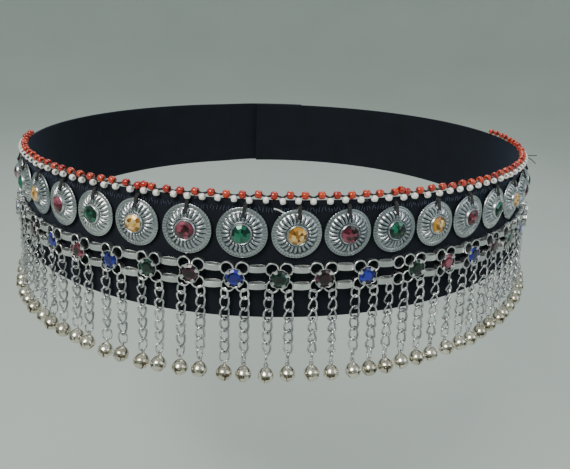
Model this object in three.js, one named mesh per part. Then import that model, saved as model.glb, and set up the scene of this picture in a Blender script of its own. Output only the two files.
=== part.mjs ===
// A belly dance hip belt, worn shape: an oval band of black cloth lapped at the back, with beading on
// its top edge, a row of domed discs, a jewelled girdle in two lengths and a fringe of bell drops.
// Millimetres, +Z up, the wearer's front towards -Y. The origin is the middle of the top edge.

import * as THREE from "three";
import { mergeVertices } from "three/addons/utils/BufferGeometryUtils.js";

// ---- driving dimensions ----

// The oval of the band's inner face at its top edge, and how far it flares for each mm of drop.
const OVAL_HALF_WIDTH = 172;
const OVAL_HALF_DEPTH = 150;
const FLARE = 0.114;

// The cloth band.
const CLOTH = 1.8;
const BAND_TOP = -1.5;
const BAND_BOTTOM = -61.3;
const BAND_STEPS = 132;

// The closure at the back: the left end laps over the right end.
const LAP_LENGTH = 45;
const LAP_RISE = 4.6;
const LAP_RAMP = 40;
const TAPE_LENGTH = 34;
const TAPE_THICK = 0.9;
const TAPE_MARGIN = 5;

// What is sewn on covers the front half of the band.
const TRIM_START = -251;
const TRIM_END = 264;
const SEAM_GAP = 0.3;

// The beading on the top edge.
const BEAD_TOP = 4;
const BEAD_BOTTOM = -4.6;
const BEAD_REACH = 3.6;
const BEAD_STEPS = 52;

// The stamped discs, spaced a little wider across the left front, as they were sewn by eye.
const DISC_RADIUS = 11.85;
const DISC_Z = -17.2;
const DISC_SETBACK = 0.7;
const DISC_SIDES = 14;
const DISC_GAP = 24.1;
const DISC_GAP_EXTRA = 2.2;
const DISC_GAP_CENTRE = -60;
const DISC_GAP_SPREAD = 45;
const DISC_ANCHOR = -41;
const DISCS_LEFT = 8;
const DISCS_RIGHT = 12;

// Half profile of a disc: rim, fluted dome, collar and stone, from the back face out.
const DISC_PROFILE = [
  { radius: 0, height: 0 },
  { radius: DISC_RADIUS, height: 0 },
  { radius: DISC_RADIUS, height: 0.8 },
  { radius: 9.4, height: 1.3 },
  { radius: 6.2, height: 2.9 },
  { radius: 4.3, height: 4.4 },
  { radius: 2.4, height: 5.5 },
  { radius: 0, height: 5.6 },
];

// The jewelled girdle: two lengths of linked units with a gap between them.
const GIRDLE_Z = -38.5;
const UNIT_HALF_HEIGHT = 7.8;
const UNIT_HALF_WIDTH = 6.9;
const GIRDLE_SETBACK = 0.6;
const GIRDLE_EDGE = 3.6;
const GIRDLE_FACE = 4.2;
const STONE_RISE = 2;
const STONE_HALF_WIDTH = 4.6;
const CHAMFER = 2.8;
const STEPS_PER_UNIT = 6;
const GIRDLE_LENGTHS = [
  { name: "left", first: -231.1, pitch: 20.8, units: 13, tail: 6.4 },
  { name: "right", first: 45, pitch: 19.5, units: 11, tail: 0 },
];

// The fringe: under each unit a pair of chain drops, each ending in a bell. Half widths and reaches
// are the room that the pair takes up at that height. A pair swings outwards from the unit's lower
// rings, on an axis 45.6 below the top edge and 4.2 out, so it starts thin to clear the girdle.
const FRINGE_LEVELS = [
  { z: -48.9, half: 6.6, inside: 3.6, outside: 4.8 },
  { z: -52.4, half: 7.0, inside: 2.4, outside: 6.4 },
  { z: -62.5, half: 7.0, inside: 2.4, outside: 6.6 },
  { z: -80.5, half: 7.4, inside: 0.9, outside: 8.0 },
  { z: -86.0, half: 8.9, inside: 0.0, outside: 8.7 },
  { z: -95.5, half: 8.9, inside: 0.0, outside: 8.7 },
];
const FRINGE_CORNER = 0.25;
const SINGLE_DROP_AT = 31.75;
const SINGLE_DROP_HALF = 4;

// ---- colours ----

const cloth = new THREE.MeshStandardMaterial({ color: 0x0b1018, roughness: 0.85, metalness: 0 });
const tape = new THREE.MeshStandardMaterial({ color: 0x14161a, roughness: 0.95, metalness: 0 });
const beading = new THREE.MeshStandardMaterial({ color: 0xc9402c, roughness: 0.2, metalness: 0 });
const discSilver = new THREE.MeshStandardMaterial({ color: 0x8f9a97, roughness: 0.35, metalness: 1 });
const girdleSilver = new THREE.MeshStandardMaterial({ color: 0xa8adac, roughness: 0.3, metalness: 1 });
const bellSilver = new THREE.MeshStandardMaterial({ color: 0xb9b3a4, roughness: 0.3, metalness: 1 });

// ---- the oval ----

// Length along the oval is measured from the middle of the front, positive towards +X.
const TABLE_STEPS = 2880;
const ovalTable = makeOvalTable();
const GIRTH = ovalTable[TABLE_STEPS].length - ovalTable[0].length;

function ovalPoint(turn) {
  return new THREE.Vector2(OVAL_HALF_WIDTH * Math.sin(turn), -OVAL_HALF_DEPTH * Math.cos(turn));
}

function makeOvalTable() {
  const table = [];
  let length = 0;
  let last = null;
  for (let i = 0; i <= TABLE_STEPS; i += 1) {
    const turn = Math.PI * ((2 * i) / TABLE_STEPS - 1);
    const point = ovalPoint(turn);
    if (last) {
      length += point.distanceTo(last);
    }
    table.push({ turn, length });
    last = point;
  }
  const middle = table[TABLE_STEPS / 2].length;
  for (const row of table) {
    row.length -= middle;
  }
  return table;
}

function turnAt(along) {
  const half = GIRTH / 2;
  const wrapped = THREE.MathUtils.euclideanModulo(along + half, GIRTH) - half;
  let low = 0;
  let high = TABLE_STEPS;
  while (high - low > 1) {
    const middle = Math.floor((low + high) / 2);
    if (ovalTable[middle].length > wrapped) {
      high = middle;
    } else {
      low = middle;
    }
  }
  const a = ovalTable[low];
  const b = ovalTable[high];
  return a.turn + ((b.turn - a.turn) * (wrapped - a.length)) / (b.length - a.length);
}

// A place on the worn shape: how far along, how far out from the inner face, and how high.
function place(along, out, z) {
  const turn = turnAt(along);
  const base = ovalPoint(turn);
  const normal = outwardAt(along);
  const reach = out - FLARE * z;
  return new THREE.Vector3(base.x + normal.x * reach, base.y + normal.y * reach, z);
}

function outwardAt(along) {
  const turn = turnAt(along);
  const normal = new THREE.Vector2(OVAL_HALF_DEPTH * Math.sin(turn), -OVAL_HALF_WIDTH * Math.cos(turn));
  return normal.normalize();
}

// ---- closed bodies from a row of sections ----

function closedGeometry(positions, triangles) {
  const geometry = new THREE.BufferGeometry();
  geometry.setAttribute("position", new THREE.Float32BufferAttribute(positions, 3));
  geometry.setIndex(triangles);
  return mergeVertices(geometry, 1e-5);
}

// Joins sections of the same number of points and closes both ends with the outline's own triangles.
function loft(sections, outline) {
  const count = outline.length;
  const positions = sections.flat().flatMap((point) => point.toArray());
  const triangles = [];
  for (let row = 0; row + 1 < sections.length; row += 1) {
    for (let i = 0; i < count; i += 1) {
      const a = row * count + i;
      const b = row * count + ((i + 1) % count);
      triangles.push(a, b + count, b);
      triangles.push(a, a + count, b + count);
    }
  }
  const last = (sections.length - 1) * count;
  for (const [a, b, c] of THREE.ShapeUtils.triangulateShape(outline, [])) {
    triangles.push(a, b, c);
    triangles.push(last + a, last + c, last + b);
  }
  return closedGeometry(positions, triangles);
}

// A strip that follows the band. sectionAt gives the outline as (out, z) points, anticlockwise.
function strip(start, end, steps, sectionAt) {
  const sections = [];
  for (let i = 0; i <= steps; i += 1) {
    const along = start + ((end - start) * i) / steps;
    sections.push(sectionAt(along).map((point) => place(along, point.x, point.y)));
  }
  return loft(sections, sectionAt(start));
}

function points(...pairs) {
  return pairs.map(([out, z]) => new THREE.Vector2(out, z));
}

// ---- the pieces ----

const belt = new THREE.Group();

function add(name, geometry, material) {
  const mesh = new THREE.Mesh(geometry, material);
  mesh.name = name;
  belt.add(mesh);
  return mesh;
}

function smooth(value) {
  return THREE.MathUtils.smoothstep(value, 0, 1);
}

// How far the band stands out from the oval, which is nothing except where its left end laps over.
function lapRise(along) {
  const lapStart = -GIRTH / 2;
  return LAP_RISE * smooth((lapStart + LAP_RAMP - along) / LAP_RAMP);
}

function buildBand() {
  const start = -GIRTH / 2 - LAP_LENGTH;
  const end = GIRTH / 2;
  const section = (along) => {
    const rise = lapRise(along);
    return points(
      [rise, BAND_BOTTOM],
      [rise + CLOTH, BAND_BOTTOM],
      [rise + CLOTH, BAND_TOP],
      [rise, BAND_TOP],
    );
  };
  add("band", strip(start, end, BAND_STEPS, section), cloth);
}

// Hook tape on the over end and loop tape on the under end, pressed together inside the lap.
function buildClosure() {
  const middle = GIRTH / 2 - LAP_LENGTH / 2;
  const start = middle - TAPE_LENGTH / 2;
  const end = middle + TAPE_LENGTH / 2;
  const bottom = BAND_BOTTOM + TAPE_MARGIN;
  const top = BAND_TOP - TAPE_MARGIN;
  const tapeStrip = (inside) => {
    const outline = points([inside, bottom], [inside + TAPE_THICK, bottom], [inside + TAPE_THICK, top], [inside, top]);
    return strip(start, end, 4, () => outline);
  };
  add("loop_tape", tapeStrip(CLOTH + SEAM_GAP), tape);
  add("hook_tape", tapeStrip(CLOTH + TAPE_THICK + 2 * SEAM_GAP), tape);
}

// The reach of the two rows of beads: over the edge, and down the front of the cloth.
function buildBeading() {
  const inside = -0.9;
  const front = CLOTH + SEAM_GAP;
  const outline = points(
    [front, BEAD_BOTTOM],
    [CLOTH + BEAD_REACH, BEAD_BOTTOM],
    [CLOTH + BEAD_REACH, BEAD_TOP],
    [inside, BEAD_TOP],
    [inside, BAND_TOP + SEAM_GAP],
    [front, BAND_TOP + SEAM_GAP],
  );
  add("edge_beading", strip(TRIM_START, TRIM_END, BEAD_STEPS, () => outline), beading);
}

function discGap(along) {
  const distance = (along - DISC_GAP_CENTRE) / DISC_GAP_SPREAD;
  return DISC_GAP + DISC_GAP_EXTRA * Math.exp(-distance * distance);
}

function discPlaces() {
  const places = [DISC_ANCHOR];
  for (let i = 0; i < DISCS_LEFT; i += 1) {
    const from = places[0];
    places.unshift(from - discGap(from - DISC_GAP / 2));
  }
  for (let i = 0; i < DISCS_RIGHT; i += 1) {
    const from = places[places.length - 1];
    places.push(from + discGap(from + DISC_GAP / 2));
  }
  return places;
}

function buildDiscs() {
  const profile = DISC_PROFILE.map((row) => new THREE.Vector2(row.radius, row.height));
  discPlaces().forEach((along, index) => {
    const geometry = new THREE.LatheGeometry(profile, DISC_SIDES);
    geometry.deleteAttribute("normal");
    geometry.deleteAttribute("uv");
    const disc = add(nameOf("disc", index), mergeVertices(geometry, 1e-4), discSilver);
    const outward = outwardAt(along);
    const facing = new THREE.Vector3(outward.x, outward.y, FLARE).normalize();
    disc.quaternion.setFromUnitVectors(new THREE.Vector3(0, 1, 0), facing);
    disc.position.copy(place(along, CLOTH, DISC_Z)).addScaledVector(facing, DISC_SETBACK);
  });
}

function nameOf(word, index) {
  return `${word}_${String(index + 1).padStart(2, "0")}`;
}

function unitPlaces(length) {
  return Array.from({ length: length.units }, (_, i) => length.first + i * length.pitch);
}

function buildGirdle(length) {
  const centres = unitPlaces(length);
  const start = centres[0] - UNIT_HALF_WIDTH;
  const end = centres[centres.length - 1] + UNIT_HALF_WIDTH + length.tail;
  const inside = CLOTH + GIRDLE_SETBACK;
  const low = GIRDLE_Z - UNIT_HALF_HEIGHT;
  const high = GIRDLE_Z + UNIT_HALF_HEIGHT;
  const section = (along) => {
    const nearest = Math.min(...centres.map((centre) => Math.abs(along - centre)));
    const face = inside + GIRDLE_FACE + (nearest < STONE_HALF_WIDTH ? STONE_RISE : 0);
    return points(
      [inside, low],
      [inside + GIRDLE_EDGE, low],
      [face, low + CHAMFER],
      [face, high - CHAMFER],
      [inside + GIRDLE_EDGE, high],
      [inside, high],
    );
  };
  add(`girdle_${length.name}`, strip(start, end, length.units * STEPS_PER_UNIT, section), girdleSilver);
}

// The reach of a pair of drops, or of one: a slab with cut corners that hangs along the flare.
function fringeSlab(along, halfAt) {
  const outlineAt = (level) => {
    const half = halfAt(level);
    const corner = FRINGE_CORNER * (level.outside - level.inside);
    return points(
      [half - corner, level.inside],
      [half, level.inside + corner],
      [half, level.outside - corner],
      [half - corner, level.outside],
      [corner - half, level.outside],
      [-half, level.outside - corner],
      [-half, level.inside + corner],
      [corner - half, level.inside],
    );
  };
  const outward = outwardAt(along);
  const sections = FRINGE_LEVELS.map((level) => {
    const root = place(along, 0, level.z);
    return outlineAt(level).map(({ x: side, y: out }) => new THREE.Vector3(
      root.x + outward.x * out - outward.y * side,
      root.y + outward.y * out + outward.x * side,
      level.z,
    ));
  });
  return loft(sections.reverse(), outlineAt(FRINGE_LEVELS[0]));
}

function buildFringe() {
  const pairs = GIRDLE_LENGTHS.flatMap(unitPlaces);
  pairs.forEach((along, index) => {
    add(nameOf("fringe", index), fringeSlab(along, (level) => level.half), bellSilver);
  });
  add("fringe_single", fringeSlab(SINGLE_DROP_AT, () => SINGLE_DROP_HALF), bellSilver);
}

buildBand();
buildClosure();
buildBeading();
buildDiscs();
GIRDLE_LENGTHS.forEach(buildGirdle);
buildFringe();

export default belt;
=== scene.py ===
# %% [markdown]
# # A belly dance hip belt
# The belt is a long strip of black cloth worn round the hips. Along its top edge run glass beads, below
# them a row of stamped discs, then a jewelled metal girdle, and under the girdle a fringe of short chains
# with jingle bells. The construction comes ready packed: this lesson gives each piece its fine form and
# its finish, and leaves every piece where the construction put it.

# %% Load the construction
import math
import random

import bpy
from mathutils import Matrix, Vector


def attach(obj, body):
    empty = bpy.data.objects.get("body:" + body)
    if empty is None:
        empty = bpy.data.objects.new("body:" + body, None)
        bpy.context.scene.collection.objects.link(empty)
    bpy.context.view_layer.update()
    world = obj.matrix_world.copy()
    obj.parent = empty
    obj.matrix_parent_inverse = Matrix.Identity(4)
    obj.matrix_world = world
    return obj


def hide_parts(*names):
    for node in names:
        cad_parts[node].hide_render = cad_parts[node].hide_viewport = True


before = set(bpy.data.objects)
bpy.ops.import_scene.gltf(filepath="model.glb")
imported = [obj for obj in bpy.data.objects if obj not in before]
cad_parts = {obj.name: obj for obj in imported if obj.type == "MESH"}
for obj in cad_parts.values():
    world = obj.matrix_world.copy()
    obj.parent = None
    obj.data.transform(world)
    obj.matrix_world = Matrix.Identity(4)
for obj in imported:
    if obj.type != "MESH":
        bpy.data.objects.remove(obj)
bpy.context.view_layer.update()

MM = 0.001
BODY = "belt"

# %% [markdown]
# ## The camera
# The camera stands a little to the left of the belt's middle and above it, close enough for the nearest
# discs to look clearly larger than those at the sides. Its turn is built from three directions: where it
# looks, its right and its up, with the small lean of a camera held in the hand.

# %% Place the camera
STAND_OFF = 0.3743
SIDE_TURN = -0.163
STAND_HEIGHT = 0.0747
PAN = -0.017
LOOK_DOWN = 0.398
LEAN = 0.038
SENSOR_WIDTH = 36.0
FOCAL_LENGTH = 31.55

bpy.ops.object.select_all(action="DESELECT")
bpy.ops.object.camera_add()
camera = bpy.context.object
camera.name = "camera"
camera.data.sensor_width = SENSOR_WIDTH
camera.data.lens = FOCAL_LENGTH
camera.data.clip_start = 0.01

heading = SIDE_TURN + PAN
forward = Vector((
    -math.sin(heading) * math.cos(LOOK_DOWN),
    math.cos(heading) * math.cos(LOOK_DOWN),
    -math.sin(LOOK_DOWN),
))
level_right = Vector((math.cos(heading), math.sin(heading), 0))
level_up = level_right.cross(forward)
right = math.cos(LEAN) * level_right + math.sin(LEAN) * level_up
up = math.cos(LEAN) * level_up - math.sin(LEAN) * level_right
stand = Vector((STAND_OFF * math.sin(SIDE_TURN), -STAND_OFF * math.cos(SIDE_TURN), STAND_HEIGHT))
camera.matrix_world = Matrix.Translation(stand) @ Matrix((right, up, -forward)).transposed().to_4x4()
bpy.context.scene.camera = camera
print("camera at", tuple(round(value, 3) for value in stand))

# %% [markdown]
# ## Finding a place on the belt
# The belt is an oval that flares as it goes down. Every bead, disc and chain is placed by how far along
# the belt it is, how far out from the inner face and how high. The length along an ellipse has no simple
# formula, so it is added up once in a table and looked up after that.

# %% Measure the oval
OVAL_HALF_WIDTH = 172 * MM
OVAL_HALF_DEPTH = 150 * MM
FLARE = 0.114
CLOTH = 1.8 * MM
TABLE_STEPS = 2880


def oval_point(turn):
    return Vector((OVAL_HALF_WIDTH * math.sin(turn), -OVAL_HALF_DEPTH * math.cos(turn)))


turns = [math.pi * (2 * i / TABLE_STEPS - 1) for i in range(TABLE_STEPS + 1)]
lengths = [0.0]
for before, after in zip(turns, turns[1:]):
    lengths.append(lengths[-1] + (oval_point(after) - oval_point(before)).length)
GIRTH = lengths[-1]
lengths = [length - GIRTH / 2 for length in lengths]
print("girth at the top edge, mm:", round(GIRTH / MM, 1))


def turn_at(along):
    wrapped = (along + GIRTH / 2) % GIRTH - GIRTH / 2
    low, high = 0, TABLE_STEPS
    while high - low > 1:
        middle = (low + high) // 2
        if lengths[middle] > wrapped:
            high = middle
        else:
            low = middle
    share = (wrapped - lengths[low]) / (lengths[high] - lengths[low])
    return turns[low] + share * (turns[high] - turns[low])


def outward_at(along):
    turn = turn_at(along)
    return Vector((OVAL_HALF_DEPTH * math.sin(turn), -OVAL_HALF_WIDTH * math.cos(turn), 0)).normalized()


def place(along, out, z):
    base = oval_point(turn_at(along))
    reach = outward_at(along) * (out - FLARE * z)
    return Vector((base.x + reach.x, base.y + reach.y, z))


# %% [markdown]
# A piece that is sewn on is modelled lying flat, with x along the belt, y up the cloth and z outwards.
# The seat below turns that flat place into a place on the belt, with small turns of its own, because
# nothing on a hand-sewn belt is quite straight.

# %% Seat a piece on the cloth
def seat(along, out, z, spin=0.0, tip=0.0, sway=0.0):
    outward = outward_at(along)
    facing = Vector((outward.x, outward.y, FLARE)).normalized()
    sideways = Vector((-outward.y, outward.x, 0))
    upward = facing.cross(sideways)
    axes = Matrix((sideways, upward, facing)).transposed().to_4x4()
    turned = Matrix.Rotation(spin, 4, "Z") @ Matrix.Rotation(tip, 4, "X") @ Matrix.Rotation(sway, 4, "Y")
    return Matrix.Translation(place(along, out, z)) @ axes @ turned


# %% [markdown]
# ## Small helpers for modelling
# Each form starts from a Blender primitive and is shaped in edit mode. What repeats is modelled once and
# stamped: every copy has its own mesh, joined to its neighbours, and carries a number of its own that its
# material can read, so that no two copies look quite alike. A piece that is finished with an angle is
# smoothed up to that angle, and one without stays flat on every face.

# %% Start, finish and stamp a piece
def deselect_all():
    if bpy.context.object and bpy.context.object.mode != "OBJECT":
        bpy.ops.object.mode_set(mode="OBJECT")
    bpy.ops.object.select_all(action="DESELECT")


def only(piece):
    deselect_all()
    piece.select_set(True)
    bpy.context.view_layer.objects.active = piece


def apply_modifier(piece, kind, **settings):
    only(piece)
    modifier = piece.modifiers.new(kind.lower(), kind)
    for name, value in settings.items():
        setattr(modifier, name, value)
    bpy.ops.object.modifier_apply(modifier=modifier.name)


def recalculate(piece):
    only(piece)
    bpy.ops.object.mode_set(mode="EDIT")
    bpy.ops.mesh.select_all(action="SELECT")
    bpy.ops.mesh.remove_doubles(threshold=0.00001)
    bpy.ops.mesh.normals_make_consistent(inside=False)
    bpy.ops.object.mode_set(mode="OBJECT")


def shape(piece, move):
    for vertex in piece.data.vertices:
        vertex.co = move(vertex.co.copy())


def stamp(model, name, seats, chance):
    points, faces, tints = [], [], []
    corners = [tuple(face.vertices) for face in model.data.polygons]
    places = [vertex.co for vertex in model.data.vertices]
    for matrix in seats:
        first = len(points)
        tint = chance.random()
        points.extend(matrix @ point for point in places)
        faces.extend(tuple(first + corner for corner in face) for face in corners)
        tints.extend([tint] * len(places))
    mesh = bpy.data.meshes.new(name)
    mesh.from_pydata(points, [], faces)
    mesh.attributes.new("tint", "FLOAT", "POINT").data.foreach_set("value", tints)
    piece = bpy.data.objects.new(name, mesh)
    bpy.context.collection.objects.link(piece)
    return piece


def join(name, pieces):
    only(pieces[0])
    for piece in pieces:
        piece.select_set(True)
    bpy.ops.object.join()
    pieces[0].name = name
    return pieces[0]


def discard(*models):
    for model in models:
        bpy.data.objects.remove(model, do_unlink=True)


def finish(piece, material, angle=None, body=BODY):
    only(piece)
    if angle is not None:
        bpy.ops.object.shade_smooth_by_angle(angle=math.radians(angle))
    piece.data.materials.clear()
    piece.data.materials.append(material)
    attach(piece, body)
    print(piece.name, len(piece.data.polygons), "faces")


# %% [markdown]
# A round form grows ring by ring, as on a lathe. A strip ring is a circle pulled up into a band and given
# its wall by Solidify. A wire link is a torus whose two halves are pulled apart.

# %% Grow a round form, pull up a strip ring and draw out a link
WIRE_SECTION = 6
PULLED_SHARE = 0.35


def grown(name, rows, sides):
    deselect_all()
    radius, height = rows[0]
    bpy.ops.mesh.primitive_circle_add(vertices=sides, radius=radius * MM, location=(0, 0, 0))
    piece = bpy.context.object
    piece.name = name
    bpy.ops.object.mode_set(mode="EDIT")
    bpy.ops.transform.translate(value=(0, 0, height * MM))
    bpy.ops.mesh.edge_face_add()
    for next_radius, next_height in rows[1:]:
        bpy.ops.mesh.select_all(action="DESELECT")
        bpy.ops.mesh.select_non_manifold(extend=False, use_wire=True, use_boundary=True)
        rise = (0, 0, (next_height - height) * MM)
        bpy.ops.mesh.extrude_edges_move(TRANSFORM_OT_translate={"value": rise})
        if next_radius == 0:
            bpy.ops.mesh.merge(type="CENTER")
            break
        scale = next_radius / radius
        middle = (0, 0, next_height * MM)
        bpy.ops.transform.resize(value=(scale, scale, 1), center_override=middle)
        radius, height = next_radius, next_height
    bpy.ops.object.mode_set(mode="OBJECT")
    return piece


def strip_ring(name, half_width, half_height, depth, wall, sides, bevel=0.1):
    deselect_all()
    bpy.ops.mesh.primitive_circle_add(vertices=sides, radius=half_width * MM, location=(0, 0, 0))
    piece = bpy.context.object
    piece.name = name
    bpy.ops.object.mode_set(mode="EDIT")
    bpy.ops.transform.resize(value=(1, half_height / half_width, 1), center_override=(0, 0, 0))
    bpy.ops.mesh.extrude_edges_move(TRANSFORM_OT_translate={"value": (0, 0, depth * MM)})
    bpy.ops.object.mode_set(mode="OBJECT")
    apply_modifier(piece, "SOLIDIFY", thickness=wall * MM, offset=0)
    apply_modifier(piece, "BEVEL", width=bevel * MM, segments=1, limit_method="ANGLE")
    recalculate(piece)
    return piece


def wire_link(name, length, width, wire, around=18):
    deselect_all()
    major = (width - wire) / 2 * MM
    bpy.ops.mesh.primitive_torus_add(
        major_radius=major,
        minor_radius=wire / 2 * MM,
        major_segments=around,
        minor_segments=WIRE_SECTION,
    )
    piece = bpy.context.object
    piece.name = name
    stretch = (length - width) / 2 * MM

    def pull(point):
        share = max(-1, min(1, point.y / (major * PULLED_SHARE)))
        return Vector((point.x, point.y + stretch * share, point.z))

    shape(piece, pull)
    return piece


# %% [markdown]
# ## Colours and materials
# Colours are written as they would be picked on a screen and turned linear by one function. One more
# function adds a node with its settings and its links. Every material is named for what the real thing
# is made of.

# %% Helpers for materials
def linear(hex_colour):
    channels = [int(hex_colour[i:i + 2], 16) / 255 for i in (1, 3, 5)]
    return tuple(c / 12.92 if c <= 0.04045 else ((c + 0.055) / 1.055) ** 2.4 for c in channels) + (1.0,)


def add_node(material, kind, settings=None, inputs=None):
    tree = material.node_tree
    node = tree.nodes.new(kind)
    for name, value in (settings or {}).items():
        setattr(node, name, value)
    for socket, value in (inputs or {}).items():
        if isinstance(value, bpy.types.NodeSocket):
            tree.links.new(value, node.inputs[socket])
        else:
            node.inputs[socket].default_value = value
    return node


def new_material(name, **sockets):
    material = bpy.data.materials.new(name)
    material.use_nodes = True
    shader = material.node_tree.nodes["Principled BSDF"]
    for socket, value in sockets.items():
        shader.inputs[socket.replace("_", " ")].default_value = value
    return material, shader


def connect(material, source, target):
    material.node_tree.links.new(source, target)


def blend_colours(material, factor, first, second):
    mix = add_node(material, "ShaderNodeMix", {"data_type": "RGBA"})
    connect(material, factor, mix.inputs["Factor"])
    for socket, value in ((mix.inputs[6], first), (mix.inputs[7], second)):
        if isinstance(value, bpy.types.NodeSocket):
            connect(material, value, socket)
        else:
            socket.default_value = linear(value)
    return mix.outputs[2]


def stretch_range(material, value, low, high, to_low=0.0, to_high=1.0):
    node = add_node(
        material,
        "ShaderNodeMapRange",
        inputs={"Value": value, "From Min": low, "From Max": high, "To Min": to_low, "To Max": to_high},
    )
    return node.outputs["Result"]


def own_number(material, name):
    return add_node(material, "ShaderNodeAttribute", {"attribute_name": name}).outputs["Fac"]


def noise(material, place_on, scale, detail, **more):
    values = {"Vector": place_on, "Scale": scale, "Detail": detail, **more}
    return add_node(material, "ShaderNodeTexNoise", inputs=values).outputs["Fac"]


def add_bump(material, shader, height, strength, distance):
    values = {"Height": height, "Strength": strength, "Distance": distance * MM}
    bump = add_node(material, "ShaderNodeBump", inputs=values)
    connect(material, bump.outputs["Normal"], shader.inputs["Normal"])


# %% [markdown]
# The band is plain-woven black cotton with a blue cast. Its threads are about 0.4 mm apart; two wave
# patterns at right angles raise them, drawn at 0.55 mm so that they still show. A little sheen stands
# for the fine nap.

# %% Black cotton
WEAVE_PITCH = 0.55 * MM


def make_cotton(band_length, band_height):
    material, shader = new_material(
        "black_cotton",
        Roughness=0.82,
        Sheen_Weight=0.25,
        Sheen_Roughness=0.5,
        Specular_IOR_Level=0.3,
    )
    shader.inputs["Sheen Tint"].default_value = linear("#56688c")
    place_on = add_node(material, "ShaderNodeTexCoord").outputs["UV"]
    scaled = add_node(
        material,
        "ShaderNodeMapping",
        inputs={"Vector": place_on, "Scale": (band_length, band_height, 1)},
    ).outputs["Vector"]
    waves = []
    for direction in ("X", "Y"):
        wave = add_node(
            material,
            "ShaderNodeTexWave",
            {"bands_direction": direction},
            {"Vector": scaled, "Scale": 1 / WEAVE_PITCH / 3.18, "Distortion": 0.8, "Detail Scale": 300.0},
        )
        waves.append(wave.outputs["Fac"])
    woven = add_node(material, "ShaderNodeMath", {"operation": "MAXIMUM"})
    connect(material, waves[0], woven.inputs[0])
    connect(material, waves[1], woven.inputs[1])
    cloudy = noise(material, scaled, 60.0, 4.0)
    base = blend_colours(material, stretch_range(material, cloudy, 0.35, 0.7), "#04060a", "#0a0f19")
    raised = stretch_range(material, woven.outputs[0], 0.6, 1.0, 0, 0.5)
    threads = blend_colours(material, raised, base, "#151d2c")
    connect(material, threads, shader.inputs["Base Color"])
    add_bump(material, shader, woven.outputs[0], 0.5, 0.12)
    return material


# %% [markdown]
# The discs are thin stamped metal with a silver colour. Wear leaves the high places bright and a
# blue-grey tarnish in the low ones, which the vertices carry as a number of their own. On the milled rim
# that number is also made larger on the lower left of every disc, which is painted shade. The whole disc
# is duller or brighter by its own tint. Girdle, chains and bells are plated and brighter, the bells a
# little warm.

# %% Silver-coloured metals
# The blue-grey colour is laid on by a number on each vertex: tarnish in the low places, and on the discs'
# milled rim also painted shade on the lower left.
def make_silver(name, bright, dull, roughness, patch_scale, tarnish_and_shade_colour=None):
    material, shader = new_material(name, Metallic=1.0, Roughness=roughness)
    place_on = add_node(material, "ShaderNodeTexCoord").outputs["Object"]
    tint = own_number(material, "tint")
    patches = noise(material, place_on, patch_scale, 6.0, Roughness=0.65)
    own = blend_colours(material, tint, bright, dull)
    patchy = stretch_range(material, patches, 0.42, 0.72)
    worn = blend_colours(material, patchy, own, dull)
    if tarnish_and_shade_colour:
        tarnish_and_shade = own_number(material, "tarnish_and_shade")
        worn = blend_colours(material, tarnish_and_shade, worn, tarnish_and_shade_colour)
    connect(material, worn, shader.inputs["Base Color"])
    rough = stretch_range(material, patches, 0.3, 0.75, roughness * 0.75, roughness * 1.5)
    connect(material, rough, shader.inputs["Roughness"])
    scratches = noise(material, place_on, 900.0, 3.0)
    add_bump(material, shader, scratches, 0.25, 0.06)
    return material


disc_silver = make_silver("stamped_silver_metal", "#dfe2e3", "#a9afb4", 0.24, 130.0, tarnish_and_shade_colour="#4b5259")
girdle_silver = make_silver("plated_girdle_metal", "#f4f4f2", "#cdcfd0", 0.27, 160.0)
chain_silver = make_silver("plated_chain_metal", "#eaeaea", "#b0b2b5", 0.2, 200.0)
bell_silver = make_silver("plated_bell_metal", "#f1ebdd", "#cfc6b4", 0.18, 240.0)
print("metals:", disc_silver.name, girdle_silver.name, chain_silver.name, bell_silver.name)

# %% [markdown]
# The stones are glass with a foil behind, so each facet looks either lit or nearly black. That light is
# painted into the colour: the stone's mesh keeps a random number on every facet, and the colour runs by it
# from a deep shade to a light one, a painted reflection on each facet, under a clear hard coat. The beads
# are solid glass: the red ones let some light through, the white ones don't.

# %% Glass stones and beads
def make_stone(name, deep, middle, light):
    material, shader = new_material(
        name,
        Roughness=0.06,
        Metallic=0.35,
        Coat_Weight=0.6,
        Coat_Roughness=0.03,
    )
    # Each facet's random number picks a painted shade from dark to lit: painted reflections of the facets.
    painted_facet_glint = own_number(material, "painted_facet_glint")
    ramp = add_node(material, "ShaderNodeValToRGB", inputs={"Fac": painted_facet_glint})
    stops = ramp.color_ramp.elements
    stops[0].color = linear(deep)
    stops[0].position = 0.1
    stops[1].color = linear(light)
    stops[1].position = 0.98
    half = stops.new(0.55)
    half.color = linear(middle)
    connect(material, ramp.outputs[0], shader.inputs["Base Color"])
    return material


def make_bead_glass(name, light, dark, transmission):
    material, shader = new_material(
        name,
        Roughness=0.1,
        IOR=1.5,
        Transmission_Weight=transmission,
        Coat_Weight=0.6,
        Coat_Roughness=0.05,
    )
    tint = own_number(material, "tint")
    place_on = add_node(material, "ShaderNodeTexCoord").outputs["Object"]
    streak = noise(material, place_on, 500.0, 2.0)
    own = blend_colours(material, tint, light, dark)
    colour = blend_colours(material, stretch_range(material, streak, 0.4, 0.75, 0, 0.6), own, dark)
    connect(material, colour, shader.inputs["Base Color"])
    return material


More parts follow.
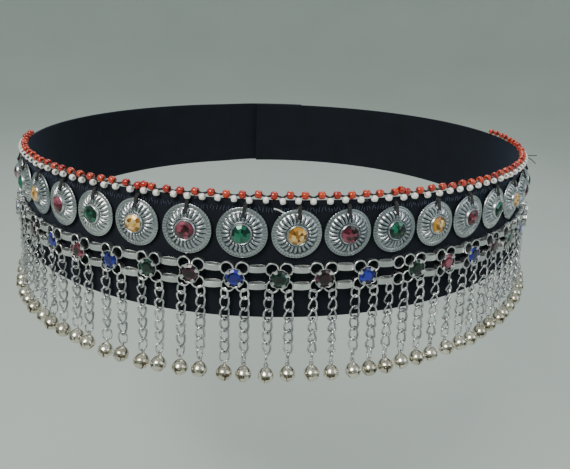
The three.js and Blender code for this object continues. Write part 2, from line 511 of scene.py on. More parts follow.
# For each stone: the colour of a dark facet, a half-lit facet and a lit facet, as painted reflections.
STONES = {
    "green": make_stone("green_glass_stone", "#01100b", "#06382b", "#1c7a5e"),
    "amber": make_stone("amber_glass_stone", "#7a4c14", "#d39a38", "#f9e2a6"),
    "red": make_stone("red_glass_stone", "#1d050c", "#651a2e", "#a8586c"),
    "blue": make_stone("blue_glass_stone", "#03042a", "#10117a", "#2d34b0"),
    "plum": make_stone("plum_glass_stone", "#0d0409", "#2b101c", "#5a2d41"),
    "bottle": make_stone("bottle_glass_stone", "#010907", "#06221a", "#185243"),
}
bead_red = make_bead_glass("orange_red_bead_glass", "#f2562d", "#bb261a", 0.3)
bead_white = make_bead_glass("white_bead_glass", "#ffffff", "#f3f1ea", 0.0)
print("stone colours:", ", ".join(STONES))

# %% [markdown]
# Thread is two plies of cotton twisted together. A slanted wave gives the twist, at about 0.5 mm a turn.

# %% Cotton thread
def make_thread(name, dark, light):
    material, shader = new_material(name, Roughness=0.7, Sheen_Weight=0.3)
    place_on = add_node(material, "ShaderNodeTexCoord").outputs["Object"]
    twist = add_node(
        material,
        "ShaderNodeTexWave",
        {"bands_direction": "DIAGONAL"},
        {"Vector": place_on, "Scale": 620.0, "Distortion": 1.5},
    ).outputs["Fac"]
    connect(material, blend_colours(material, twist, dark, light), shader.inputs["Base Color"])
    add_bump(material, shader, twist, 0.5, 0.1)
    return material


black_thread = make_thread("black_thread", "#030406", "#0d1017")
blue_thread = make_thread("blue_black_thread", "#121a2b", "#3d4d6c")
white_thread = make_thread("white_thread", "#b9bcc0", "#e4e5e6")
print("threads:", black_thread.name, blue_thread.name, white_thread.name)

# %% [markdown]
# ## The band
# The band is one straight strip. A flat grid is the quickest start: its columns are laid round the oval,
# and its rows go down the flare. The discs and the girdle pull at their stitches, so the cloth between
# them swells a little, in soft uneven waves that are worked out for each point. Solidify gives it the
# thickness of the doubled cloth.

# %% Lay the band round the oval
BAND_TOP = -1.5 * MM
BAND_BOTTOM = -61.3 * MM
LAP_LENGTH = 45 * MM
LAP_RISE = 4.6 * MM
LAP_RAMP = 40 * MM
COLUMNS = 560
ROWS = 24
SWELL = 0.35 * MM
SLOW_WAVE = 17.3
SLOW_DRIFT = 41.0
QUICK_WAVE = 6.1
QUICK_DRIFT = 29.0

band_start = -GIRTH / 2 - LAP_LENGTH
band_length = GIRTH + LAP_LENGTH
band_height = BAND_TOP - BAND_BOTTOM


def lap_rise(along):
    share = max(0.0, min(1.0, (-GIRTH / 2 + LAP_RAMP - along) / LAP_RAMP))
    return LAP_RISE * share * share * (3 - 2 * share)


def cloth_swell(along, z):
    depth = (BAND_TOP - z) / band_height
    inside = math.sin(math.pi * min(1.0, max(0.0, depth)))
    slow = math.sin(along / MM / SLOW_WAVE + 1.1 * math.sin(along / MM / SLOW_DRIFT)) * 0.6
    quick = math.sin(along / MM / QUICK_WAVE + 5 * depth + 2.0 * math.sin(along / MM / QUICK_DRIFT)) * 0.4
    return SWELL * (slow + quick) * (0.35 + 0.65 * inside)


deselect_all()
bpy.ops.mesh.primitive_grid_add(x_subdivisions=COLUMNS, y_subdivisions=ROWS, size=1, location=(0, 0, 0))
band = bpy.context.object
band.name = "band_cloth"


def lay_round(point):
    along = band_start + (point.x + 0.5) * band_length
    z = BAND_BOTTOM + (point.y + 0.5) * band_height
    out = CLOTH / 2 + lap_rise(along) + cloth_swell(along, z) * 0.5
    return place(along, out, z)


shape(band, lay_round)
apply_modifier(band, "SOLIDIFY", thickness=CLOTH * 0.8, offset=0)
recalculate(band)
apply_modifier(band, "BEVEL", width=0.4 * MM, segments=2, limit_method="ANGLE", angle_limit=1.2)
black_cotton = make_cotton(band_length, band_height)
finish(band, black_cotton, angle=60)
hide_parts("band")

# %% [markdown]
# The hook and loop tapes inside the lap come with the construction and stay as they are. They only need
# a finish: woven nylon with a rough face.

# %% Finish the closure tapes
tape_nylon, tape_shader = new_material("black_nylon_tape", Roughness=0.9)
tape_place = add_node(tape_nylon, "ShaderNodeTexCoord").outputs["Object"]
tape_pile = add_node(
    tape_nylon, "ShaderNodeTexVoronoi", inputs={"Vector": tape_place, "Scale": 1100.0}
).outputs["Distance"]
tape_colour = blend_colours(tape_nylon, tape_pile, "#08090b", "#20242a")
connect(tape_nylon, tape_colour, tape_shader.inputs["Base Color"])
add_bump(tape_nylon, tape_shader, tape_pile, 0.6, 0.2)
for tape_name in ("loop_tape", "hook_tape"):
    tape_node = bpy.data.objects[tape_name]
    tape_node.data.materials.clear()
    tape_node.data.materials.append(tape_nylon)
    print(tape_name, "finished with", tape_nylon.name)

# %% [markdown]
# ## The beaded edge
# One black thread runs along the top edge. It goes through a red bead that stands on the edge, down into
# a white bead on the front of the cloth, and up to the next red one. A glass seed bead is a fat ring, so
# a torus is a true start, drawn to its length along its hole. Here and there a second red bead crowds in.

# %% Model and sew on the beads
TRIM_START = -250.5 * MM
TRIM_END = 263.0 * MM
BEAD_PITCH = 7.4 * MM
BEAD_HOLE = 1.0
RED_BEAD = (4.0, 3.4)
RED_Z = 0.75 * MM
RED_OUT = 1.3 * MM
WHITE_BEAD = (3.3, 2.7)
WHITE_Z = -1.2 * MM
WHITE_OUT = CLOTH + 1.35 * MM
EXTRA_BEAD_EVERY = 17
chance = random.Random(7)


def bead_model(name, diameter, length):
    deselect_all()
    thick = (diameter - BEAD_HOLE) / 4
    bpy.ops.mesh.primitive_torus_add(
        major_radius=(BEAD_HOLE / 2 + thick) * MM,
        minor_radius=thick * MM,
        major_segments=14,
        minor_segments=8,
    )
    piece = bpy.context.object
    piece.name = name
    squeeze = length / (2 * thick)
    bpy.ops.object.mode_set(mode="EDIT")
    bpy.ops.transform.resize(value=(1, 1, squeeze), center_override=(0, 0, 0))
    bpy.ops.transform.rotate(value=math.pi / 2, orient_axis="Y", center_override=(0, 0, 0))
    bpy.ops.object.mode_set(mode="OBJECT")
    return piece


red_model = bead_model("red_bead_model", *RED_BEAD)
white_model = bead_model("white_bead_model", *WHITE_BEAD)
bead_count = int((TRIM_END - TRIM_START) / BEAD_PITCH)
red_seats, white_seats, thread_route = [], [], []
for index in range(bead_count):
    along = TRIM_START + (index + 0.3 + chance.uniform(-0.06, 0.06)) * BEAD_PITCH
    red_z = RED_Z + chance.uniform(-0.3, 0.3) * MM
    white_z = WHITE_Z + chance.uniform(-0.3, 0.3) * MM
    white_along = along + BEAD_PITCH * (0.5 + chance.uniform(-0.05, 0.05))
    red_out = RED_OUT + chance.uniform(-0.2, 0.3) * MM
    red_seats.append(seat(along, red_out, red_z, chance.uniform(-0.25, 0.25), 0, chance.uniform(-0.2, 0.2)))
    white_seats.append(seat(white_along, WHITE_OUT, white_z, chance.uniform(-0.3, 0.3), 0.25))
    if index % EXTRA_BEAD_EVERY == 4:
        red_seats.append(seat(along + 3.5 * MM, red_out, red_z + 0.7 * MM, -0.35, 0, 0.1))
    thread_route.append(place(along - 2.0 * MM, red_out, red_z - 0.2 * MM))
    thread_route.append(place(along, red_out, red_z))
    thread_route.append(place(along + 2.0 * MM, red_out, red_z - 0.2 * MM))
    thread_route.append(place(white_along, WHITE_OUT - 0.2 * MM, white_z + 1.4 * MM))
red_beads = stamp(red_model, "edge_beads_red", red_seats, chance)
white_beads = stamp(white_model, "edge_beads_white", white_seats, chance)
discard(red_model, white_model)
finish(red_beads, bead_red, angle=180)
finish(white_beads, bead_white, angle=180)
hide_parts("edge_beading")
print("beads:", len(red_seats), "red,", len(white_seats), "white")

# %% [markdown]
# A thread is a curve with a round bevel, turned into a mesh. The same helper makes the bead thread, the
# stitches that hold the discs, and the loose ends.

# %% Draw the threads
EDGE_THREAD_RADIUS = 0.58 * MM
THREAD_ROUNDNESS = 2


def thread(name, routes, radius, resolution):
    curve = bpy.data.curves.new(name, "CURVE")
    curve.dimensions = "3D"
    curve.bevel_depth = radius
    curve.bevel_resolution = THREAD_ROUNDNESS
    curve.use_fill_caps = True
    curve.resolution_u = resolution
    for route in routes:
        spline = curve.splines.new("NURBS")
        spline.points.add(len(route) - 1)
        for point, position in zip(spline.points, route):
            point.co = (*position, 1)
        spline.use_endpoint_u = True
        spline.order_u = 3
    piece = bpy.data.objects.new(name, curve)
    bpy.context.collection.objects.link(piece)
    only(piece)
    bpy.ops.object.convert(target="MESH")
    return bpy.context.object


edge_thread = thread("edge_thread", [thread_route], EDGE_THREAD_RADIUS, resolution=2)
finish(edge_thread, black_thread, angle=60)

# %% [markdown]
# Below the beads a close row of slanting stitches holds the folded edge. Each stitch is only a short
# swollen bar of blue-black thread, so one small sphere, pulled long, serves for all.

# %% Sew the folded edge
STITCH_PITCH = 1.25 * MM
STITCH_Z = -6.0
STITCH_LEANS = (-0.3, -0.2, 0.35)
deselect_all()
bpy.ops.mesh.primitive_uv_sphere_add(segments=6, ring_count=4, radius=1 * MM)
stitch_model = bpy.context.object
shape(stitch_model, lambda point: Vector((point.x * 0.2, point.y * 1.5, point.z * 0.22)))
stitch_seats = []
along = TRIM_START
while along < TRIM_END:
    height = (STITCH_Z + chance.uniform(-0.5, 0.5)) * MM
    lean = chance.choice(STITCH_LEANS) + chance.uniform(-0.15, 0.15)
    stitch_seats.append(seat(along, CLOTH + 0.12 * MM, height, lean))
    along += STITCH_PITCH * chance.uniform(0.75, 1.5)
edge_stitches = stamp(stitch_model, "edge_stitches", stitch_seats, chance)
discard(stitch_model)
finish(edge_stitches, blue_thread, angle=180)

# %% [markdown]
# ## The discs
# Each disc is stamped from thin metal: a flat milled rim, a dome pressed into radial petals, and a raised
# collar that holds the stone. The round form is grown ring by ring with many sides, then the petals and
# the rim's milling are pressed in by moving its points by their angle and their distance from the middle.

# %% Model a stamped disc
DISC_RADIUS = 11.85
DISC_Z = -17.2 * MM
DISC_SETBACK = 0.7 * MM
PETALS = 24
MILLINGS = 48
PETAL_DEPTH = 1.05
MILLING_DEPTH = 0.16
PETAL_ZONE = (5.5, 9.75, 0.7)
RIM_ZONE = (10.1, 11.5, 0.15)
VALLEY_ZONE = (5.5, 9.9, 0.6)
COLLAR_ZONE = (5.1, 5.7, 0.2)
DISC_SIDES = 144
DISC_ROWS = [
    (11.75, 0.0), (DISC_RADIUS, 0.3), (11.7, 0.75), (11.45, 0.85), (11.2, 0.8), (10.5, 0.8), (10.2, 0.95),
    (9.95, 0.8), (9.7, 0.95), (9.3, 1.4), (8.6, 1.9), (7.7, 2.35), (6.8, 2.65), (6.1, 2.75), (5.6, 2.7),
    (5.4, 2.45), (5.2, 2.55), (5.05, 3.2), (4.85, 3.75), (4.6, 3.95), (4.45, 3.85), (4.4, 3.3), (0, 3.2),
]


def window(value, low, high, soft):
    rise = max(0.0, min(1.0, (value - low) / soft))
    fall = max(0.0, min(1.0, (high - value) / soft))
    return min(rise, fall)


def petal_at(angle):
    return abs(math.cos(PETALS / 2 * angle))


def notch_at(angle):
    return 1.0 if math.cos(MILLINGS * angle) > 0.4 else 0.0


disc_model = grown("disc_model", DISC_ROWS, DISC_SIDES)


def press_petals(point):
    distance = math.hypot(point.x, point.y) / MM
    angle = math.atan2(point.y, point.x)
    if point.z < 0.05 * MM:
        return point
    dome = window(distance, *PETAL_ZONE)
    milled = window(distance, *RIM_ZONE)
    point.z += (petal_at(angle) ** 0.7 - 0.75) * PETAL_DEPTH * MM * dome
    point.z -= MILLING_DEPTH * MM * notch_at(angle) * milled
    return point


shape(disc_model, press_petals)
recalculate(disc_model)
# The number below is the blue-grey tarnish of the valleys, the rim's notches and the collar. In the notches
# it is also weighted towards the lower left of every disc, which is painted shade.
tarnish_and_shade = disc_model.data.attributes.new("tarnish_and_shade", "FLOAT", "POINT")
for vertex, value in zip(disc_model.data.vertices, tarnish_and_shade.data):
    distance = math.hypot(vertex.co.x, vertex.co.y) / MM
    angle = math.atan2(vertex.co.y, vertex.co.x)
    valley = 1 - petal_at(angle)
    painted_shade_side = max(0.1, 0.5 - 0.5 * math.sin(angle + 0.6))
    value.value = (
        0.75 * valley * window(distance, *VALLEY_ZONE)
        + 0.7 * notch_at(angle) * window(distance, *RIM_ZONE) * painted_shade_side
        + 0.6 * window(distance, *COLLAR_ZONE)
    )
print("disc model:", len(disc_model.data.polygons), "faces")

# %% [markdown]
# The stone in a disc is cut in steps to a small table. Its facets stay flat-shaded, and each has its own
# random number, which sets how lit that facet is painted: a painted sparkle.

# %% Model the stones
def stone_model(name, rows, sides):
    piece = grown(name, rows, sides)
    only(piece)
    bpy.ops.object.mode_set(mode="EDIT")
    bpy.ops.mesh.select_all(action="DESELECT")
    bpy.ops.mesh.select_non_manifold(extend=False, use_wire=True, use_boundary=True)
    bpy.ops.mesh.edge_face_add()
    bpy.ops.object.mode_set(mode="OBJECT")
    recalculate(piece)
    return piece


# A random number per facet decides how lit or dark the stone's colour paints that facet: painted sparkle.
def set_painted_facet_glints(piece, seed):
    painted_facet_glint = piece.data.attributes.new("painted_facet_glint", "FLOAT", "FACE")
    cut = random.Random(seed)
    for value in painted_facet_glint.data:
        value.value = cut.random()


DISC_STONE_SIDES = 10
GIRDLE_STONE_SIDES = 8
DISC_STONE_ROWS = [(4.35, 3.3), (4.3, 3.9), (2.9, 4.8), (1.1, 5.3)]
GIRDLE_STONE_ROWS = [(4.3, 0.0), (4.5, 0.7), (3.3, 1.5), (2.2, 1.75)]
disc_stone_model = stone_model("disc_stone_model", DISC_STONE_ROWS, DISC_STONE_SIDES)
girdle_stone_model = stone_model("girdle_stone_model", GIRDLE_STONE_ROWS, GIRDLE_STONE_SIDES)
for model in (disc_stone_model, girdle_stone_model):
    print(model.name, len(model.data.polygons), "facets")

# %% [markdown]
# The discs were spaced by eye, wider across the left front, so the distance from one to the next follows
# the same soft hump as in the construction. Each gets a small tilt of its own. Those of the left front
# are also up to 5.5 per cent larger than their solids, by a second soft hump.

# %% Set out the discs
DISC_GAP = 24.1
DISC_GAP_EXTRA = 2.2
DISC_GAP_CENTRE = -60
DISC_GAP_SPREAD = 45
DISC_ANCHOR = -41
DISC_GROWTH = 0.055
DISC_GROWTH_CENTRE = -50
DISC_GROWTH_SPREAD = 50
DISCS_LEFT = 8
DISCS_RIGHT = 12
COLOUR_TURN = ("green", "amber", "red")


def disc_gap(along):
    distance = (along - DISC_GAP_CENTRE) / DISC_GAP_SPREAD
    return DISC_GAP + DISC_GAP_EXTRA * math.exp(-distance * distance)


disc_places = [DISC_ANCHOR]
for _ in range(DISCS_LEFT):
    disc_places.insert(0, disc_places[0] - disc_gap(disc_places[0] - DISC_GAP / 2))
for _ in range(DISCS_RIGHT):
    disc_places.append(disc_places[-1] + disc_gap(disc_places[-1] + DISC_GAP / 2))

disc_seats = []
for along in disc_places:
    tip = chance.uniform(-0.03, 0.03)
    sway = chance.uniform(-0.03, 0.03)
    spin = chance.uniform(-0.08, 0.08)
    bigger = 1 + DISC_GROWTH * math.exp(-(((along - DISC_GROWTH_CENTRE) / DISC_GROWTH_SPREAD) ** 2))
    disc = seat(along * MM, CLOTH + DISC_SETBACK, DISC_Z, spin, tip, sway)
    disc_seats.append(disc @ Matrix.Diagonal((bigger, bigger, 1, 1)))

model_tarnish_and_shade = [value.value for value in disc_model.data.attributes["tarnish_and_shade"].data]
for index, matrix in enumerate(disc_seats):
    disc = stamp(disc_model, f"stamped_disc_{index + 1:02d}", [matrix], chance)
    disc.data.attributes.new("tarnish_and_shade", "FLOAT", "POINT").data.foreach_set("value", model_tarnish_and_shade)
    finish(disc, disc_silver, angle=50)
    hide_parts(f"disc_{index + 1:02d}")

for turn, colour in enumerate(COLOUR_TURN):
    seats = [m for i, m in enumerate(disc_seats) if (i - DISCS_LEFT) % 3 == turn]
    stones = stamp(disc_stone_model, f"disc_stones_{colour}", seats, chance)
    set_painted_facet_glints(stones, turn)
    finish(stones, STONES[colour])
discard(disc_model, disc_stone_model)

# %% [markdown]
# One black stitch holds each disc at its top: two strands come out of the cloth, go over the rim and down
# through a hole in the petals.

# %% Stitch the discs down
DISC_THREAD_RADIUS = 0.48 * MM
STITCH_ROUTE = [
    (13.6, -0.9), (13.2, 0.4), (12.0, 1.5), (10.6, 1.7), (9.2, 2.4), (8.2, 2.9), (7.7, 2.6), (7.5, 1.6),
]
stitch_routes = []
for matrix in disc_seats:
    lean = chance.uniform(-0.5, 0.5)
    for side in (-0.45, 0.35):
        stitch_routes.append([
            matrix @ Vector(((side + lean * (y - 7.5) / 6) * MM, y * MM, z * MM))
            for y, z in STITCH_ROUTE
        ])
disc_stitches = thread("disc_stitches", stitch_routes, DISC_THREAD_RADIUS, resolution=3)
finish(disc_stitches, black_thread, angle=60)

# %% [markdown]
# A few ends of thread were never trimmed. Each is under 30 mm. The black ones stand away from the cloth,
# and one white end lies along it. Small knots sit on the front, just under the top edge.

# %% Leave the knots and the loose ends
LOOSE_ENDS = [
    (190, -3.0, 2.0, 9.5, 0.5), (190, -3.6, 4.0, 9.5, -5.0), (190, -3.6, -3.0, 3.0, -9.0),
    (248, -4.0, -7.0, 1.5, -10.0), (-212, -4.0, 6.0, 1.5, -9.0),
]
WHITE_END = [
    (-26.5, 1.3, -5.0), (-24.0, 1.6, -5.4), (-22.0, 1.3, -7.0), (-19.5, 1.5, -6.9), (-18.5, 1.3, -5.9),
]
WHITE_END_RADIUS = 0.4 * MM
LOOSE_END_RADIUS = 0.28 * MM
STEPS_OF_END = (0.0, 0.25, 0.5, 0.75, 1.0)
KNOT_PLACES = (-222, -150, -63, 18, 96, 171, 224)
KNOT_RADIUS = 0.75
loose_routes = []
for along, top, side, reach, fall in LOOSE_ENDS:
    loose_routes.append([
        place((along + side * step) * MM, CLOTH + (0.6 + reach * step) * MM, (top + fall * step * step) * MM)
        for step in STEPS_OF_END
    ])
white_route = [place(along * MM, CLOTH + out * MM, z * MM) for along, out, z in WHITE_END]
white_end = thread("white_thread_end", [white_route], WHITE_END_RADIUS, resolution=4)
loose_ends = thread("loose_ends", loose_routes, LOOSE_END_RADIUS, resolution=4)
deselect_all()
bpy.ops.mesh.primitive_uv_sphere_add(segments=8, ring_count=6, radius=KNOT_RADIUS * MM)
knot_model = bpy.context.object
knot_seats = [seat(along * MM, CLOTH + 0.4 * MM, -1.9 * MM, chance.random()) for along in KNOT_PLACES]
knots = stamp(knot_model, "knots", knot_seats, chance)
discard(knot_model)
finish(white_end, white_thread, angle=60)
finish(loose_ends, black_thread, angle=60)
finish(knots, black_thread, angle=180)

# %% [markdown]
# ## The girdle
# The girdle is a bought trim, joined in units. Four short rings stand two over two, and a stone in a
# scalloped setting covers the place where they meet, held by four claws. Flat oval loops link each
# unit to the next, one at the top and one at the bottom.

# %% Model the parts of a unit
UNIT_RING_RADIUS = 3.35
UNIT_RING_X = 3.55
UNIT_RING_Y = 4.4
GIRDLE_Z = -38.5 * MM
GIRDLE_OUT = CLOTH + 0.7 * MM
RING_DEPTH = 3.0
RING_MIDDLE_RADIUS = UNIT_RING_RADIUS - 0.25
RING_WALL = 0.7
SETTING_RADIUS = 4.7
SETTING_HEIGHT = 1.5
SETTING_WALL = 0.3
SCALLOPS = 12
CLAW_LENGTH = 3.0
CLAW_FOOT = 5.0
CLAW_HEIGHT = 2.0
CLAW_CURL = 0.07

ring_model = strip_ring("ring_model", RING_MIDDLE_RADIUS, RING_MIDDLE_RADIUS, RING_DEPTH, RING_WALL, 24)
setting_model = strip_ring(
    "setting_model", SETTING_RADIUS, SETTING_RADIUS, SETTING_HEIGHT, SETTING_WALL, 48, bevel=0.06
)


def scallop(point):
    wave = math.cos(SCALLOPS * math.atan2(point.y, point.x))
    high = point.z / (SETTING_HEIGHT * MM)
    grow = 1 + (0.03 + 0.05 * wave) * high
    return Vector((point.x * grow, point.y * grow, point.z * (1 + 0.12 * wave)))


shape(setting_model, scallop)

deselect_all()
bpy.ops.mesh.primitive_cone_add(vertices=4, radius1=1.4 * MM, radius2=0.12 * MM, depth=CLAW_LENGTH * MM)
claw_model = bpy.context.object
claw_model.name = "claw_model"
bpy.ops.object.mode_set(mode="EDIT")
bpy.ops.mesh.subdivide(number_cuts=2)
bpy.ops.object.mode_set(mode="OBJECT")


def bend_claw(point):
    inwards = point.z / MM + CLAW_LENGTH / 2
    height = CLAW_HEIGHT * MM + point.y * 0.22 - inwards * inwards * CLAW_CURL * MM
    return Vector((point.x * 0.95, (CLAW_FOOT - inwards) * MM, height))


shape(claw_model, bend_claw)
recalculate(claw_model)
for model in (ring_model, setting_model, claw_model):
    print(model.name, len(model.data.polygons), "faces")

# %% [markdown]
# A loop is a strip bent to a long oval, standing on edge. It is made like the rings, laid flat, and turned
# so that its strip stands upright and wraps through the two rings that it links.

# %% Assemble the two lengths
GIRDLE_LENGTHS = [
    {"name": "left", "first": -231.1, "pitch": 20.8, "units": 13},
    {"name": "right", "first": 45.0, "pitch": 19.5, "units": 11},
]
LOOP_HEIGHT = 2.9
LOOP_HALF_DEPTH = 2.0
LOOP_WALL = 0.5
LOOP_OVERLAP = 1.0
LOOP_OUT = 1.7
RING_LAYOUT = [(-1, 1), (1, 1), (-1, -1), (1, -1)]
STONE_COLOURS = {
    "left": ["plum", "blue", "bottle", "plum", "blue", "red", "blue", "bottle", "plum", "blue", "bottle",
             "plum", "blue"],
    "right": ["bottle", "red", "blue", "plum", "bottle", "blue", "red", "bottle", "blue", "plum", "blue"],
}


def loop_model_for(pitch):
    half_width = pitch / 2 - UNIT_RING_X - UNIT_RING_RADIUS + LOOP_OVERLAP
    model = strip_ring("loop_model", half_width, LOOP_HALF_DEPTH, LOOP_HEIGHT, LOOP_WALL, 28)
    only(model)
    bpy.ops.object.mode_set(mode="EDIT")
    bpy.ops.mesh.select_all(action="SELECT")
    bpy.ops.transform.translate(value=(0, 0, -LOOP_HEIGHT / 2 * MM))
    bpy.ops.object.mode_set(mode="OBJECT")
    shape(model, lambda point: Vector((point.x, point.z, point.y)))
    recalculate(model)
    return model


unit_places = {}
stone_seats = {}
for length in GIRDLE_LENGTHS:
    name = length["name"]
    places = [length["first"] + i * length["pitch"] for i in range(length["units"])]
    unit_places[name] = places
    loop_model = loop_model_for(length["pitch"])
    rings, loops, settings, claws = [], [], [], []
    for index, along in enumerate(places):
        wobble = chance.uniform(-0.05, 0.05)
        drop = chance.uniform(-0.35, 0.35) * MM
        unit = seat(along * MM, GIRDLE_OUT, GIRDLE_Z + drop, wobble)
        for side, level in RING_LAYOUT:
            tilt = Matrix.Rotation(chance.uniform(-0.12, 0.12), 4, "Y")
            offset = Matrix.Translation((side * UNIT_RING_X * MM, level * UNIT_RING_Y * MM, 0))
            rings.append(unit @ offset @ tilt)
        seat_on_top = unit @ Matrix.Translation((0, 0, (RING_DEPTH + 0.05) * MM))
        turned = seat_on_top @ Matrix.Rotation(chance.uniform(-0.3, 0.3), 4, "Z")
        settings.append(turned)
        for quarter in range(4):
            claws.append(turned @ Matrix.Rotation(math.pi * (quarter / 2 + 0.25), 4, "Z"))
        colour = STONE_COLOURS[name][index]
        stone_seats.setdefault(colour, []).append(turned @ Matrix.Translation((0, 0, 0.35 * MM)))
        if index + 1 < len(places) or name == "left":
            for level in (1, -1):
                slack = chance.uniform(-0.3, 0.3)
                height = GIRDLE_Z + (level * UNIT_RING_Y + slack) * MM
                middle = (along + length["pitch"] / 2) * MM
                loops.append(seat(middle, GIRDLE_OUT + LOOP_OUT * MM, height, chance.uniform(-0.05, 0.05)))
    if name == "left":
        for level in (1, -1):
            height = GIRDLE_Z + level * UNIT_RING_Y * MM
            rings.append(seat((places[-1] + length["pitch"] - UNIT_RING_X) * MM, GIRDLE_OUT, height))
    parts = [
        stamp(ring_model, "rings", rings, chance),
        stamp(loop_model, "loops", loops, chance),
        stamp(setting_model, "settings", settings, chance),
        stamp(claw_model, "claws", claws, chance),
    ]
    girdle = join(f"girdle_metal_{name}", parts)
    finish(girdle, girdle_silver, angle=35)
    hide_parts(f"girdle_{name}")
    discard(loop_model)
for colour, seats in stone_seats.items():
    stones = stamp(girdle_stone_model, f"girdle_stones_{colour}", seats, chance)
    set_painted_facet_glints(stones, len(seats))
    finish(stones, STONES[colour])
discard(ring_model, setting_model, claw_model, girdle_stone_model)

# %% [markdown]
# ## The fringe
# A drop is a jump ring at a lower ring of the girdle, five curb links, one oval link, a small eye and a
# bell. A curb link is an oval wire link twisted along its length, which makes the chain lie flat. The jump
# ring's wire crosses the girdle ring's wall here, where on a real belt it goes round it.

# %% Model the links
WIRE = 1.3
LONG_WIRE = 1.0
EYE_WIRE = 0.65
JUMP_LENGTH = 6.6
CURB_LENGTH = 8.6
LONG_LENGTH = 7.4
EYE_LENGTH = 3.0
JUMP_WIDTH = 5.2
CURB_WIDTH = 5.7
LONG_WIDTH = 5.8
EYE_WIDTH = 2.6
CURB_TWIST = 1.0
jump_model = wire_link("jump_model", JUMP_LENGTH, JUMP_WIDTH, WIRE)
curb_model = wire_link("curb_model", CURB_LENGTH, CURB_WIDTH, WIRE)
long_model = wire_link("long_model", LONG_LENGTH, LONG_WIDTH, LONG_WIRE)
eye_model = wire_link("eye_model", EYE_LENGTH, EYE_WIDTH, EYE_WIRE, around=12)


def twist_curb(point):
    angle = CURB_TWIST * point.y / (CURB_LENGTH / 2 * MM)
    return Matrix.Rotation(angle, 3, "Y") @ point


shape(curb_model, twist_curb)
print("link lengths, mm:", JUMP_LENGTH, CURB_LENGTH, LONG_LENGTH, EYE_LENGTH)

# %% [markdown]
# The bell is grown as a shell from its neck down. Faces are deleted where four slits run up from the
# bottom, wide near the middle and narrow below. Solidify gives the wall, and a small pellet lies inside.

# %% Model the bell
BELL_ROWS = [
    (0.6, 4.7), (0.85, 4.45), (1.15, 4.15), (1.75, 3.85), (2.7, 3.2), (3.55, 2.15), (4.05, 1.2), (4.2, 0.6),
    (4.1, 0.3), (4.2, 0.0), (4.08, -1.0), (3.7, -1.9), (3.05, -2.75), (2.1, -3.5), (1.0, -4.0), (0.28, -4.13),
]
BELL_SIDES = 24
SLIT_TOP = 0.5
SLIT_NECK = -1.2
BELL_WALL = 0.3
PELLET_RADIUS = 1.5
bell_model = grown("bell_model", BELL_ROWS, BELL_SIDES)
column = 360 / BELL_SIDES


def in_slit(middle):
    angle = (math.degrees(math.atan2(middle.y, middle.x)) + column) % 90
    columns = 4 if middle.z > SLIT_NECK * MM else 1
    start = column * (4 - columns) // 2
    return middle.z < SLIT_TOP * MM and start < angle < start + columns * column


only(bell_model)
bpy.ops.object.mode_set(mode="EDIT")
bpy.ops.mesh.select_mode(type="FACE")
bpy.ops.mesh.select_all(action="DESELECT")
bpy.ops.object.mode_set(mode="OBJECT")
whole = len(bell_model.data.polygons)
for face in bell_model.data.polygons:
    face.select = in_slit(face.center)
bpy.ops.object.mode_set(mode="EDIT")
bpy.ops.mesh.delete(type="FACE")
bpy.ops.mesh.select_mode(type="VERT")
bpy.ops.object.mode_set(mode="OBJECT")
print("bell faces before and after the slits:", whole, len(bell_model.data.polygons))
apply_modifier(bell_model, "SOLIDIFY", thickness=BELL_WALL * MM, offset=-1)
deselect_all()
bpy.ops.mesh.primitive_uv_sphere_add(segments=8, ring_count=6, radius=PELLET_RADIUS * MM)
pellet_model = bpy.context.object
shape(pellet_model, lambda point: Vector((point.x, point.y, point.z * 0.9 - 1.0 * MM)))
print("bell model:", len(bell_model.data.polygons), "faces")

# %% [markdown]
# The drops hang straight down along the flare. Each is built from the top: every link starts where the
# last one ends, turned about the drop by its own amount, and the whole drop sways a little. The bell
# leans outwards from its eye.

# %% Hang the drops
JUMP_TOP = -44.3
CURB_PITCH = CURB_LENGTH - 2 * WIRE
CURB_LINKS = 5
DROP_OUT = 4.2
SINGLE_DROP_AT = 31.75
BELL_DROP = 5.5
BELL_LOOP = 4.7
BELL_LEAN = -0.3
DROP_SPREAD = UNIT_RING_X + 1.2
LINK_MODELS = {"jump": jump_model, "curb": curb_model, "long": long_model, "eye": eye_model}


def hang(along, out, z, twist):
    outward = outward_at(along)
    down = Vector((outward.x * FLARE, outward.y * FLARE, -1)).normalized()
    sideways = Vector((-outward.y, outward.x, 0))
    facing = sideways.cross(-down)
    axes = Matrix((sideways, -down, facing)).transposed().to_4x4()
    return Matrix.Translation(place(along, out, z)) @ axes @ Matrix.Rotation(twist, 4, "Y")


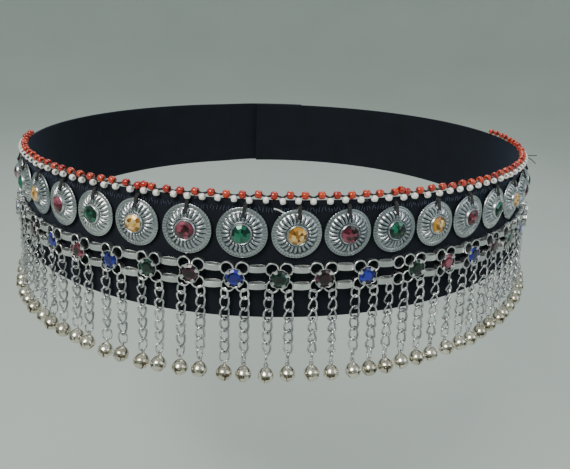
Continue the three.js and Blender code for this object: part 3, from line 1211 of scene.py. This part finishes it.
def drop_parts(along, chance):
    sway = chance.uniform(-0.02, 0.02)
    turn = chance.uniform(-0.5, 0.5)
    stretch = chance.uniform(0.97, 1.02)
    z = JUMP_TOP - JUMP_LENGTH / 2
    links = {"jump": [hang(along * MM, DROP_OUT * MM, z * MM, turn + chance.uniform(-0.3, 0.3))]}
    z -= (JUMP_LENGTH + CURB_LENGTH) / 2 - 2 * WIRE
    links["curb"] = []
    for _ in range(CURB_LINKS):
        side = (z - JUMP_TOP) * sway
        turn += chance.uniform(-0.2, 0.2)
        links["curb"].append(hang((along + side) * MM, DROP_OUT * MM, z * MM, turn))
        z -= CURB_PITCH * stretch
    z += CURB_PITCH * stretch - (CURB_LENGTH + LONG_LENGTH) / 2 + WIRE + LONG_WIRE
    side = (z - JUMP_TOP) * sway
    long_turn = chance.choice((0.2, 1.4, 1.2)) + chance.uniform(-0.3, 0.3)
    links["long"] = [hang((along + side) * MM, DROP_OUT * MM, z * MM, long_turn)]
    z -= (LONG_LENGTH + EYE_LENGTH) / 2 - LONG_WIRE - EYE_WIRE
    links["eye"] = [hang((along + side) * MM, DROP_OUT * MM, z * MM, long_turn + 1.57)]
    z -= BELL_DROP
    upright = hang((along + side) * MM, DROP_OUT * MM, z * MM, 0)
    lean = Matrix.Rotation(BELL_LEAN + chance.uniform(-0.15, 0.15), 4, "X")
    from_loop = Matrix.Translation((0, BELL_LOOP * MM, 0))
    turned = Matrix.Rotation(chance.uniform(0, 1.57), 4, "Y") @ Matrix.Rotation(-math.pi / 2, 4, "X")
    links["bell"] = [upright @ from_loop @ lean @ from_loop.inverted() @ turned]
    return links


def hang_drops(name, alongs, node):
    drop_chance = random.Random(name)
    seats = {"jump": [], "curb": [], "long": [], "eye": [], "bell": []}
    for along in alongs:
        for part, matrices in drop_parts(along, drop_chance).items():
            seats[part].extend(matrices)
    chains = join(f"{name}_chains", [
        stamp(model, f"{part}s", seats[part], drop_chance) for part, model in LINK_MODELS.items()
    ])
    finish(chains, chain_silver, angle=180, body=name)
    bells = join(f"{name}_bells", [
        stamp(bell_model, "bells", seats["bell"], drop_chance),
        stamp(pellet_model, "pellets", seats["bell"], drop_chance),
    ])
    finish(bells, bell_silver, angle=50, body=name)
    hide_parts(node)


drop_number = 0
for length in GIRDLE_LENGTHS:
    for along in unit_places[length["name"]]:
        drop_number += 1
        pair = (along - DROP_SPREAD, along + DROP_SPREAD)
        hang_drops(f"drops_{drop_number:02d}", pair, f"fringe_{drop_number:02d}")
hang_drops("drops_single", (SINGLE_DROP_AT,), "fringe_single")
discard(*LINK_MODELS.values(), bell_model, pellet_model)

# %% [markdown]
# ## Floor, light and world
# The belt hangs in the air, as if worn, over a plain pale floor that curves up all round, so that no
# horizon cuts across behind it.

# %% Lay the floor
FLOOR_Z = -320
BOWL_ROWS = [
    (1800, FLOOR_Z), (2300, FLOOR_Z + 60), (2700, FLOOR_Z + 260), (2950, FLOOR_Z + 620),
    (3050, FLOOR_Z + 1150), (3060, FLOOR_Z + 1900),
]
FLOOR_SIDES = 96
floor = grown("floor", BOWL_ROWS, FLOOR_SIDES)
only(floor)
bpy.ops.object.shade_smooth()
floor_paint, floor_shader = new_material("pale_floor", Roughness=0.9)
floor_place = add_node(floor_paint, "ShaderNodeTexCoord").outputs["Object"]
floor_cloud = noise(floor_paint, floor_place, 3.0, 3.0)
floor_colour = blend_colours(floor_paint, floor_cloud, "#b9c2be", "#c3cbc7")
connect(floor_paint, floor_colour, floor_shader.inputs["Base Color"])
floor.data.materials.append(floor_paint)
print("floor:", len(floor.data.polygons), "faces")

# %% [markdown]
# The main soft light stands high on the left. A weaker one fills in from the right and one from behind
# edges the back of the belt. The world is one even pale colour.

# %% Light the belt
WORLD_STRENGTH = 0.9
AIM_AT = Vector((0, 0, -0.04))


def soft_light(name, size, power, where, colour):
    deselect_all()
    bpy.ops.object.light_add(type="AREA", location=where)
    light = bpy.context.object
    light.name = name
    light.data.size = size
    light.data.energy = power
    light.data.color = linear(colour)[:3]
    aim = AIM_AT - Vector(where)
    light.rotation_euler = aim.to_track_quat("-Z", "Y").to_euler()


soft_light("key_light", size=0.7, power=19, where=(-0.7, -0.8, 1.1), colour="#fffaf2")
soft_light("fill_light", size=0.9, power=3.5, where=(1.1, -0.7, 0.6), colour="#eef4ff")
soft_light("back_light", size=0.9, power=7, where=(0.3, 1.1, 1.2), colour="#ffffff")

world = bpy.data.worlds.new("studio")
bpy.context.scene.world = world
world.use_nodes = True
sky = world.node_tree.nodes["Background"]
sky.inputs["Color"].default_value = linear("#bcc6c2")
sky.inputs["Strength"].default_value = WORLD_STRENGTH

# %% [markdown]
# ## The end

# %% Clear the selection
deselect_all()
